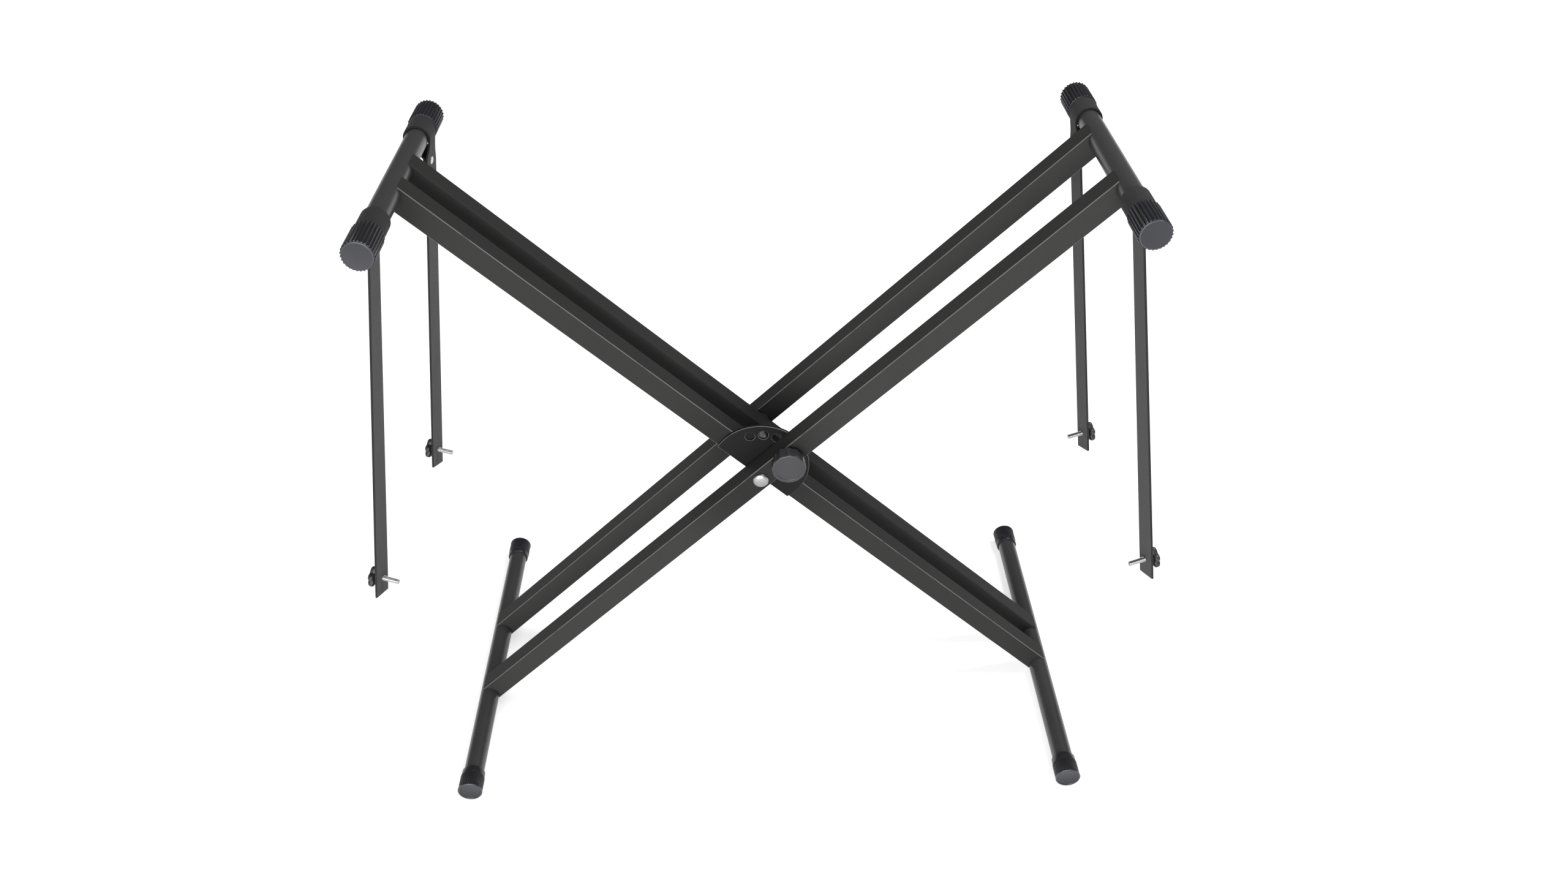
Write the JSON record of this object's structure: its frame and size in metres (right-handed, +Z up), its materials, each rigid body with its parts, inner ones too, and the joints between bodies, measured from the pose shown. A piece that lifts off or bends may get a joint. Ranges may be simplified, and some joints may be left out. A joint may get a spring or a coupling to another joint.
{
  "type": "folding keyboard stand",
  "caption": "Folding double-X stand: paired square legs cross at a locking pivot and carry tubular arms with ribbed caps, tubular feet and hanging straps with thumb screws.",
  "frame": {"origin": "on the floor under the pivot, midway between the arms and between the front and rear legs", "axes": "+X to the right, from the left arm to the right arm; +Y to the back, away from the lock knob; +Z up"},
  "size_m": [0.9118, 0.444, 0.7261],
  "materials": {
    "powder_black": "fine-textured black powder coat, bright along the edges",
    "satin_black": "satin black paint on round tube",
    "ribbed_rubber": "moulded black rubber with fine lengthwise ribs",
    "bright_zinc": "bright zinc plate",
    "plain_steel": "turned steel, lightly oiled",
    "black_webbing": "flat woven nylon webbing",
    "black_plastic": "moulded black plastic, slightly grained",
    "black_nylon": "black nylon, slightly shiny from wear"
  },
  "bodies": {
    "inner_frame": {"inner_leg_front": "powder_black", "inner_leg_rear": "powder_black", "left_arm_tube": "satin_black", "right_foot_tube": "satin_black", "arm_cap_left_front": "ribbed_rubber", "arm_cap_left_rear": "ribbed_rubber", "foot_cap_right_front": "ribbed_rubber", "foot_cap_right_rear": "ribbed_rubber", "locking_plate": "powder_black", "pivot_sleeve": "plain_steel"},
    "outer_frame": {"outer_leg_front": "powder_black", "outer_leg_rear": "powder_black", "right_arm_tube": "satin_black", "left_foot_tube": "satin_black", "arm_cap_right_front": "ribbed_rubber", "arm_cap_right_rear": "ribbed_rubber", "foot_cap_left_front": "ribbed_rubber", "foot_cap_left_rear": "ribbed_rubber", "pivot_bolt": "bright_zinc", "pivot_nut": "bright_zinc", "nut_washer": "bright_zinc", "front_gap_washer": "black_nylon", "rear_gap_washer": "black_nylon", "crush_sleeve_front": "plain_steel", "crush_sleeve_rear": "plain_steel", "lock_sleeve": "plain_steel", "lock_spring": "plain_steel"},
    "lock_pull": {"lock_pin": "plain_steel", "lock_knob": "black_plastic"},
    "strap_left_front": {"strap_left_front": "black_webbing", "strap_rivet_left_front": "bright_zinc"},
    "screw_left_front": {"thumb_screw_left_front": "bright_zinc", "thumb_knob_left_front": "black_plastic"},
    "strap_right_front": {"strap_right_front": "black_webbing", "strap_rivet_right_front": "bright_zinc"},
    "screw_right_front": {"thumb_screw_right_front": "bright_zinc", "thumb_knob_right_front": "black_plastic"},
    "strap_left_rear": {"strap_left_rear": "black_webbing", "strap_rivet_left_rear": "bright_zinc"},
    "screw_left_rear": {"thumb_screw_left_rear": "bright_zinc", "thumb_knob_left_rear": "black_plastic"},
    "strap_right_rear": {"strap_right_rear": "black_webbing", "strap_rivet_right_rear": "bright_zinc"},
    "screw_right_rear": {"thumb_screw_right_rear": "bright_zinc", "thumb_knob_right_rear": "black_plastic"}
  },
  "joints": [
    {"name": "fold", "type": "hinge", "parent": "inner_frame", "child": "outer_frame", "pos_m": [0, 0, 0.36241], "axis": [0, -1, 0], "range_deg": [-20.2, 80.8]},
    {"name": "lock_slide", "type": "slide", "parent": "outer_frame", "child": "lock_pull", "axis": [0, -1, 0], "range_m": [-0.0035, 0.003]},
    {"name": "strap_swing_left_front", "type": "hinge", "parent": "inner_frame", "child": "strap_left_front", "pos_m": [-0.35931, -0.1095, 0.71011], "axis": [0, 1, 0], "range_deg": [-35, 75]},
    {"name": "screw_turn_left_front", "type": "hinge", "parent": "strap_left_front", "child": "screw_left_front", "pos_m": [-0.44068, -0.1095, 0.26448], "axis": [0.9618, -0.2079, -0.1783], "continuous": true},
    {"name": "strap_swing_right_front", "type": "hinge", "parent": "outer_frame", "child": "strap_right_front", "pos_m": [0.35931, -0.1095, 0.71011], "axis": [0, -1, 0], "range_deg": [-35, 75]},
    {"name": "screw_turn_right_front", "type": "hinge", "parent": "strap_right_front", "child": "screw_right_front", "pos_m": [0.44068, -0.1095, 0.26448], "axis": [-0.9618, -0.2079, -0.1783], "continuous": true},
    {"name": "strap_swing_left_rear", "type": "hinge", "parent": "inner_frame", "child": "strap_left_rear", "pos_m": [-0.35931, 0.1095, 0.71011], "axis": [0, 1, 0], "range_deg": [-35, 75]},
    {"name": "screw_turn_left_rear", "type": "hinge", "parent": "strap_left_rear", "child": "screw_left_rear", "pos_m": [-0.41537, 0.1095, 0.28262], "axis": [0.9661, -0.2079, -0.153], "continuous": true},
    {"name": "strap_swing_right_rear", "type": "hinge", "parent": "outer_frame", "child": "strap_right_rear", "pos_m": [0.35931, 0.1095, 0.71011], "axis": [0, -1, 0], "range_deg": [-35, 75]},
    {"name": "screw_turn_right_rear", "type": "hinge", "parent": "strap_right_rear", "child": "screw_right_rear", "pos_m": [0.41537, 0.1095, 0.28262], "axis": [-0.9661, -0.2079, -0.153], "continuous": true}
  ]
}
